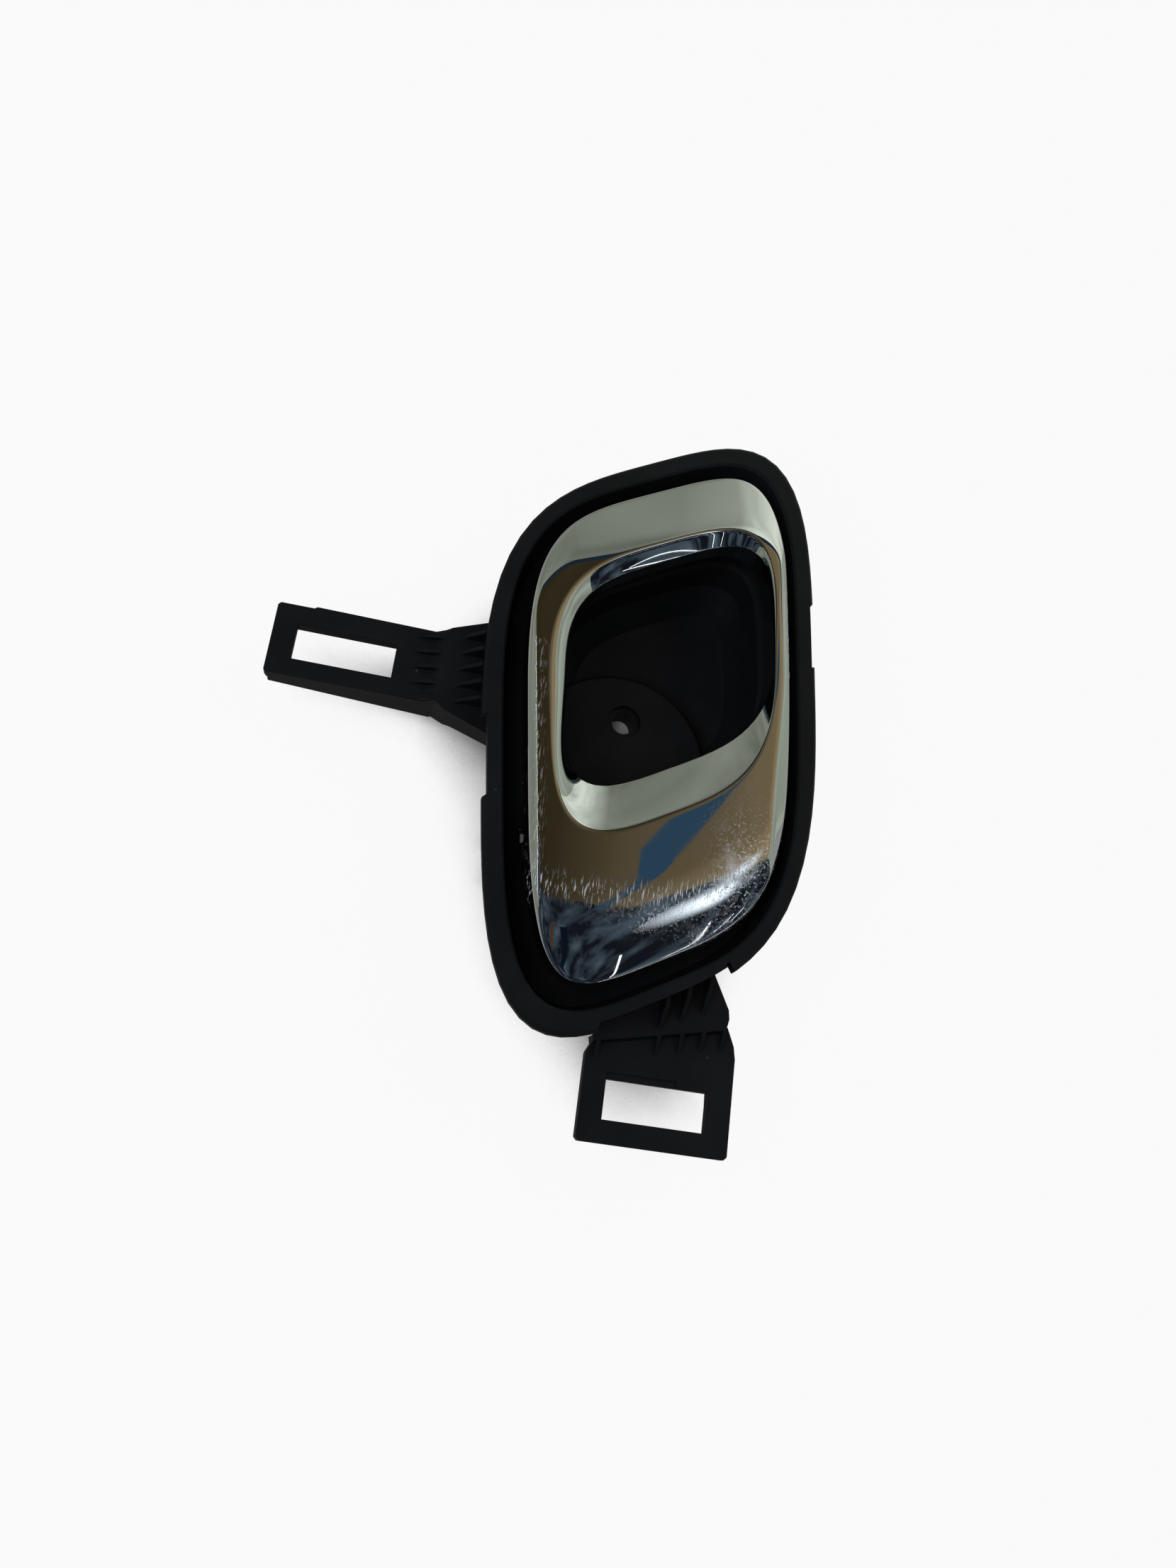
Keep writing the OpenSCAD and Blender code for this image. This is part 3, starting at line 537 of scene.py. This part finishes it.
def softened(keys):
    # each column averaged along its own length with a bell curve, so that its corners turn round
    f = ringSettings
    length = np.linalg.norm(np.diff(keys, axis=1), axis=2)
    run = np.concatenate([np.zeros((len(keys), 1)), np.cumsum(length, axis=1)], axis=1)
    shift = np.linspace(-f["bellReach"], f["bellReach"], f["bellSteps"])
    weight = np.exp(-shift ** 2 / 2)
    weight /= weight.sum()
    at = run[:, -1:] * np.linspace(0, 1, f["rows"])
    opening = run[:, -2:-1]
    spread = f["soften"] * np.clip(np.minimum(at, run[:, -1:] - at) / f["softenRun"], 0, 1)
    spread *= 1 - f["crisp"] * softStep(at, opening - f["crispFrom"], opening - f["crispFull"])
    return sum(w * alongColumns(keys, run, at + k * spread) for k, w in zip(shift, weight)).transpose(1, 0, 2)


def ringBack(lever, brim, grip, angle, brimHeight, wallDrop):
    # the same section one wall further in, from the opening back to the outer skirt
    f = ringSettings
    wall = f["wall"]
    rows = []
    for part in f["backWall"]:
        p = outlinePoints(inset(mixed(grip, brim, part), -wall), angle)
        rows.append(np.c_[p, brimHeight - wallDrop * (1 - part) - wall * f["backGap"]])
    for part in f["backSheet"]:
        p = outlinePoints(mixed(inset(lever, wall), inset(brim, -wall), part), angle)
        rows.append(np.c_[p, sheetHeight(p, lever) - wall])
    p = outlinePoints(inset(lever, wall), angle)
    rows.append(np.c_[p, np.full(len(angle), f["faceZ"] + f["skirt"])])
    return np.stack(rows)


def addRingWear(shell, rows):
    # shares of wear at every point: each band, line and patch fades from its middle by a bell curve
    f = ringSettings
    x, y = rows[..., 0].ravel(), rows[..., 1].ravel()
    crest = f["crestY"] + f["crestRise"] * (x - f["crestFrom"]) ** 2 * (x > f["crestFrom"])
    rubbed = np.exp(-((y - crest) / f["crestWidth"]) ** 2)
    rubbed *= (x > f["crestLeft"]) & (x < f["crestRight"]) & (y < f["crestTop"])
    for start, lean, width, lowest, highest, share in f["rubbedLines"]:
        rubbed += np.exp(-((x - start - lean * y) / width) ** 2) * (y > lowest) * (y < highest) * share
    scuffed = sum(share * np.exp(-((x - cx) / spreadX) ** 2 - ((y - cy) / spreadY) ** 2)
                  for cx, cy, spreadX, spreadY, share in f["scuffedPatches"])
    for label, values in (("rubbed", rubbed), ("scuffed", scuffed)):
        attribute = shell.data.attributes.new(label, "FLOAT", "POINT")
        attribute.data.foreach_set("value", np.clip(values, 0, 1).astype(np.float32))


def buildRing():
    # one section of sheet, brim, inner wall and skirts, carried round the handle
    f = ringSettings
    angle = np.arange(f["around"]) * 2 * math.pi / f["around"]
    lever, brim, grip = ringOutlines()
    outer, brimLine, gripLine = (outlinePoints(outline, angle) for outline in (lever, brim, grip))
    keys, brimHeight, wallDrop = ringFront(outer, brimLine, gripLine, lever)
    rows = np.concatenate([softened(keys), ringBack(lever, brim, grip, angle, brimHeight, wallDrop)])
    rows[..., 2] = np.maximum(rows[..., 2], f["faceZ"] + f["lowest"])
    faces = gridFaces(len(rows), len(angle), closeRows=True)
    shell = newMesh("plated_lever_ring", rows.reshape(-1, 3) * mm, faces)
    addRingWear(shell, rows)
    setMaterial(shell, platedChrome("chromePlatedAbs", f["look"]))
    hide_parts("lever_shell")
    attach(shell, "lever")
    print("lever ring:", len(faces) * 2, "triangles")


buildRing()


# return spring: its ends bear on the housing and the lever; it is built once in place and does not move with
# the lever

springSettings = {
    "radius": 2.75, "wire": 0.9, "turns": 7, "pitch": 1.125,
    "leg": 4.5, "legRise": 0.25, "legSteps": 6, "legRoot": 0.12,    # the rise is a share of the pitch
    "lowEnd": -40, "bossLength": 5, "gap": 0.6,   # the coil starts beyond the boss at the pin's low end
    "sides": 12, "perTurn": 36,
    "look": dict(pinLook, colour="#8d8f92", rough=0.3, marksMm=(0.3, 0.3, 0.3)),
}


def springPath(start):
    # helix about the pin, a half turn more than the whole turns, with one straight leg at each end
    s = springSettings
    degrees = np.linspace(0, s["turns"] * 360 + 180, s["turns"] * s["perTurn"] + s["perTurn"] // 2 + 1)
    rad = np.radians(degrees - 90)
    height = start + s["pitch"] * (s["legRise"] + degrees / 360)
    coil = np.c_[s["radius"] * np.cos(rad), height, s["radius"] * np.sin(rad)]
    shares = np.linspace(1, s["legRoot"], s["legSteps"])[:, None]
    rise = s["legRise"] * s["pitch"]
    first = coil[0] + shares * np.array([-s["leg"], -rise, 0])
    last = coil[-1] + shares[::-1] * np.array([-s["leg"], rise, 0])
    return np.concatenate([first, coil, last])


def buildSpring():
    # round wire: a circle carried along the path, square to it, then placed on the joint's axis
    s = springSettings
    joint = frame["joints"][0]
    pivot = np.array(joint["pos_m"])
    along = -np.array(joint["axis"])
    across = np.array([along[1], -along[0], 0.0])
    start = s["lowEnd"] + s["bossLength"] + s["gap"]
    path = springPath(start)
    tangent = np.gradient(path, axis=0)
    tangent /= np.linalg.norm(tangent, axis=1, keepdims=True)
    side = np.cross(tangent, [0, 1, 0.001])
    side /= np.linalg.norm(side, axis=1, keepdims=True)
    other = np.cross(tangent, side)
    turn = (np.arange(s["sides"]) * 2 * math.pi / s["sides"])[None, :, None]
    rings = path[:, None] + s["wire"] / 2 * (np.cos(turn) * side[:, None] + np.sin(turn) * other[:, None])
    local = rings.reshape(-1, 3) * mm
    points = pivot + local[:, :1] * across + local[:, 1:2] * along + local[:, 2:] * np.array([0, 0, 1.0])
    faces = gridFaces(len(path), s["sides"])
    firstCap = list(range(s["sides"]))[::-1]
    lastCap = list(range(len(points) - s["sides"], len(points)))
    spring = newMesh("torsion_spring", points, faces + [firstCap, lastCap])
    setMaterial(spring, turnedSteel("drawnSpringSteel", s["look"]))
    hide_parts("return_spring")
    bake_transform(spring)
    print("spring ready")


buildSpring()


# studio: the cards that the plating reflects, a pale floor and soft lamps

def glow(name, hexCode, strength=1.0, streaks=None, drift=None, fade=None):
    # a card's own light: one colour, with soft streaks, a slow change along x or a faded edge where asked for
    material, tree = newMaterial(name)
    emission = addNode(tree, "ShaderNodeEmission", {"Color": toLinear(hexCode), "Strength": strength})
    place = addNode(tree, "ShaderNodeTexCoord").outputs["Object"]
    colour = None
    if streaks:
        drawnOut = addNode(tree, "ShaderNodeMapping",
                           {"Scale": tuple(1 / (s * mm) for s in streaks["sizeMm"])}, {"Vector": place})
        noise = addNode(tree, "ShaderNodeTexNoise", {"Scale": 1.0, "Detail": 3.0},
                        {"Vector": drawnOut.outputs["Vector"]})
        part = addNode(tree, "ShaderNodeMapRange", {"From Min": streaks["from"], "From Max": streaks["to"]},
                       {"Value": noise.outputs["Fac"]})
        streaky = addNode(tree, "ShaderNodeMix", {"data_type": "RGBA"}, {"Factor": part.outputs["Result"]})
        streaky.inputs["A"].default_value = toLinear(hexCode)
        streaky.inputs["B"].default_value = toLinear(streaks["colour"])
        colour = streaky.outputs["Result"]
    if drift:
        x = addNode(tree, "ShaderNodeSeparateXYZ", {}, {"Vector": place}).outputs["X"]
        part = addNode(tree, "ShaderNodeMapRange",
                       {"From Min": drift["from"] * mm, "From Max": drift["to"] * mm}, {"Value": x})
        shaded = addNode(tree, "ShaderNodeMix", {"data_type": "RGBA", "blend_type": "MULTIPLY"},
                         {"Factor": part.outputs["Result"]})
        shaded.inputs["A"].default_value = toLinear(hexCode)
        shaded.inputs["B"].default_value = toLinear(drift["colour"])
        if colour:
            tree.links.new(colour, shaded.inputs["A"])
        colour = shaded.outputs["Result"]
    if colour:
        tree.links.new(colour, emission.inputs["Color"])
    surface = emission.outputs["Emission"]
    if fade:
        away = addNode(tree, "ShaderNodeVectorMath",
                       {"operation": "DISTANCE", 1: tuple(c * mm for c in fade["centre"])}, {0: place})
        part = addNode(tree, "ShaderNodeMapRange",
                       {"interpolation_type": "SMOOTHSTEP", "From Min": fade["inner"] * mm,
                        "From Max": fade["outer"] * mm}, {"Value": away.outputs["Value"]})
        clear = addNode(tree, "ShaderNodeBsdfTransparent")
        faded = addNode(tree, "ShaderNodeMixShader", {},
                        {0: part.outputs["Result"], 1: surface, 2: clear.outputs["BSDF"]})
        surface = faded.outputs["Shader"]
    addNode(tree, "ShaderNodeOutputMaterial", {}, {"Surface": surface})
    return material


def card(name, corners, material):
    # flat reflector with its corners in order, seen only in reflections
    thing = newMesh(name, np.array(corners, float) * mm, [list(range(len(corners)))], smooth=False)
    setMaterial(thing, material)
    thing.visible_camera = thing.visible_diffuse = thing.visible_shadow = thing.visible_transmission = False
    thing.visible_volume_scatter = False


# the large cards form a hood: a top that ends at left, right and edge, and walls that widen towards the foot
hood = {
    "left": -420, "right": 760, "edge": 620, "top": 700,
    "foot": 900, "low": -5, "rightFoot": -60,
    "seam": [(-420, 110), (100, 78), (235, -55), (760, -75)],   # where the warm top meets the dark front
    "corniceNear": (-80, -8), "corniceFar": (8, -30),           # dark edge along the top's far side
}
wideStreaks = {"sizeMm": (380, 380, 200), "from": 0.36, "to": 0.66}
wood = glow("warmCeilingCard", "#877556",
            streaks={"sizeMm": (90, 900, 90), "from": 0.3, "to": 0.75, "colour": "#9f8c70"},
            drift={"from": 420, "to": 60, "colour": "#61615c"})
night = glow("darkFrontCard", "#14181f",
             streaks={"sizeMm": (75, 190, 190), "from": 0.44, "to": 0.72, "colour": "#525f6d"})
pale = glow("paleWallCard", "#e6ece1", streaks=dict(wideStreaks, colour="#b4bab0"),
            drift={"from": 260, "to": 40, "colour": "#9e9e9a"})
paleRight = glow("sideWallCard", "#a9afa4", streaks=dict(wideStreaks, colour="#82887e"))


def buildHood():
    # each card takes its corners from the top's edge and from the foot
    h = hood
    seam = [(x, y, h["top"]) for x, y in h["seam"]]
    backLeft = (h["left"], h["edge"], h["top"])
    backRight = (h["right"], h["edge"], h["top"])
    feet = [(x * h["foot"], y * h["foot"], h["low"]) for x, y in ((-1, -1), (1, -1), (1, 1), (-1, 1))]
    rightFoot = (h["foot"], h["rightFoot"], h["low"])
    card("ceilingCard", seam + [backRight, backLeft], wood)
    card("frontCard", seam + [feet[1], feet[0]], night)
    card("frontRightCard", [seam[3], rightFoot, feet[1]], night)
    card("backCard", [backLeft, backRight, feet[2], feet[3]], pale)
    card("leftCard", [feet[0], feet[3], backLeft, seam[0]], pale)
    card("rightCard", [rightFoot, feet[2], backRight, seam[3]], paleRight)
    near, far = ((h["edge"] + dy, h["top"] + dz) for dy, dz in (h["corniceNear"], h["corniceFar"]))
    corners = [(h["left"], *near), (h["right"], *near), (h["right"], *far), (h["left"], *far)]
    card("backCornice", corners, glow("darkCorniceCard", "#1c2a38"))


buildHood()
duct = [(141, -100), (166, -100), (170, 140), (414, 500), (389, 500), (146, 150)]
card("ductCard", [(x, y, 690) for x, y in duct], glow("blueDuctCard", "#2c465c"))

# thin lamps and dark battens: (from, to, width, material)
tube = glow("tubeLightCard", "#f4f8ff", 2.2)
russet = glow("russetPostCard", "#50342b")
dusk = glow("duskPostCard", "#0c1522")
strips = [
    ((462, -460, 240), (448, -315, 430), 5, tube),
    ((490, -372, 335), (515, -300, 372), 4, tube),
    ((520, -330, 325), (548, -275, 345), 4, tube),
    ((333, -442, 217), (301, -315, 408), 4, tube),
    ((-370, 230, 560), (-390, -90, 570), 14, tube),
    ((600, -250, 62), (350, -580, 62), 9, tube),
    ((560, -250, 130), (330, -520, 118), 5, tube),
    ((590, -300, 150), (400, -530, 240), 3, tube),
    ((32, -117, 582), (23, -246, 502), 13, russet),
    ((71, -116, 558), (100, -300, 470), 25, dusk),
    ((100, -300, 470), (78, -430, 365), 25, dusk),
]
for i, (start, end, width, material) in enumerate(strips):
    start, end = np.array(start, float), np.array(end, float)
    across = np.cross(end - start, start + end)
    across *= width / 2 / np.linalg.norm(across)
    card(f"stripCard{i}", [start - across, start + across, end + across, end - across], material)

# two soft glows whose edges fade out
window = glow("windowGlowCard", "#dfe8f4", 2.1, fade={"centre": (368, -172, 560), "inner": 10, "outer": 105})
card("windowCard", [(430, -330, 470), (470, -40, 610), (300, -20, 620), (270, -330, 480)], window)
sideWindow = glow("sideWindowGlowCard", "#dfe8f4", 1.3,
                  fade={"centre": (380, -50, 585), "inner": 5, "outer": 85})
card("sideWindowCard", [(470, -120, 560), (480, 40, 600), (290, 40, 620), (290, -120, 600)], sideWindow)

studio = {
    "worldLight": 0.62,                           # the world as light; as a background it is plain white
    "floorTone": 0.25, "floorGlow": 0.93,         # grey floor that glows almost white for the camera
    "floorHalf": 6000, "floorGap": 0.02,
    "paintedShadeMm": 30, "paintedShadeFrom": 0.38, "paintedShadeFull": 0.56,        # painted shade: how open the floor is where it glows; where the part covers it, the glow fades
    # soft square lamps that face the handle: name, place, size, watts
    "lamps": [("mainLamp", (-420, -260, 700), 620, 5.5), ("fillLamp", (520, 420, 620), 520, 2.6)],
}


def buildWorld():
    world = bpy.data.worlds.new("paleStudio")
    scene.world = world
    world.use_nodes = True
    tree = world.node_tree
    tree.nodes.clear()
    rays = addNode(tree, "ShaderNodeLightPath")
    seen = addNode(tree, "ShaderNodeMath", {"operation": "MAXIMUM"},
                   {0: rays.outputs["Is Camera Ray"], 1: rays.outputs["Is Glossy Ray"]})
    seen = addNode(tree, "ShaderNodeMath", {"operation": "MAXIMUM"},
                   {0: seen.outputs["Value"], 1: rays.outputs["Is Transmission Ray"]})
    strength = addNode(tree, "ShaderNodeMapRange", {"To Min": studio["worldLight"], "To Max": 1.0},
                       {"Value": seen.outputs["Value"]})
    background = addNode(tree, "ShaderNodeBackground", {"Color": (1, 1, 1, 1)},
                         {"Strength": strength.outputs["Result"]})
    addNode(tree, "ShaderNodeOutputWorld", {}, {"Surface": background.outputs["Background"]})


def buildFloor():
    # it glows for the camera, and a painted shade keeps it dark where the part covers most of it, as under
    # the fixing hole
    s = studio
    tone = s["floorTone"]
    material, tree = newMaterial("paleFloor")
    rays = addNode(tree, "ShaderNodeLightPath")
    plain = addNode(tree, "ShaderNodeBsdfDiffuse", {"Color": (tone, tone, tone, 1)})
    lit = addNode(tree, "ShaderNodeEmission", {"Color": (1, 1, 1, 1), "Strength": 1.0})
    # painted shade: ambient occlusion fades the floor's glow under and beside the part
    cover = addNode(tree, "ShaderNodeAmbientOcclusion", {"samples": 12, "Distance": s["paintedShadeMm"] * mm})
    paintedShadeClear = addNode(tree, "ShaderNodeMapRange", {"From Min": s["paintedShadeFrom"], "From Max": s["paintedShadeFull"]},
                      {"Value": cover.outputs["AO"]})
    share = addNode(tree, "ShaderNodeMath", {"operation": "MULTIPLY", 1: s["floorGlow"]},
                    {0: rays.outputs["Is Camera Ray"]})
    share = addNode(tree, "ShaderNodeMath", {"operation": "MULTIPLY"},
                    {0: share.outputs["Value"], 1: paintedShadeClear.outputs["Result"]})
    both = addNode(tree, "ShaderNodeMixShader", {},
                   {0: share.outputs["Value"], 1: plain.outputs["BSDF"], 2: lit.outputs["Emission"]})
    addNode(tree, "ShaderNodeOutputMaterial", {}, {"Surface": both.outputs["Shader"]})
    half, height = s["floorHalf"], cadBox[0].z / mm - s["floorGap"]
    corners = [(x * half, y * half, height) for x, y in ((-1, -1), (1, -1), (1, 1), (-1, 1))]
    floor = newMesh("floor", np.array(corners) * mm, [[0, 1, 2, 3]], smooth=False)
    setMaterial(floor, material)


def buildLamps():
    # each lamp's back points away from the origin
    for name, place, size, power in studio["lamps"]:
        data = bpy.data.lights.new(name, "AREA")
        data.energy = power
        data.size = size * mm
        lamp = bpy.data.objects.new(name, data)
        scene.collection.objects.link(lamp)
        back = np.array(place, float) / np.linalg.norm(place)
        side = np.cross([0, 1, 0], back)
        side /= np.linalg.norm(side)
        turned = Matrix(np.array([side, np.cross(back, side), back]).T).to_4x4()
        lamp.matrix_world = Matrix.Translation(np.array(place) * mm) @ turned
        lamp.visible_glossy = lamp.visible_camera = False


buildWorld()
buildFloor()
buildLamps()
print("studio ready")
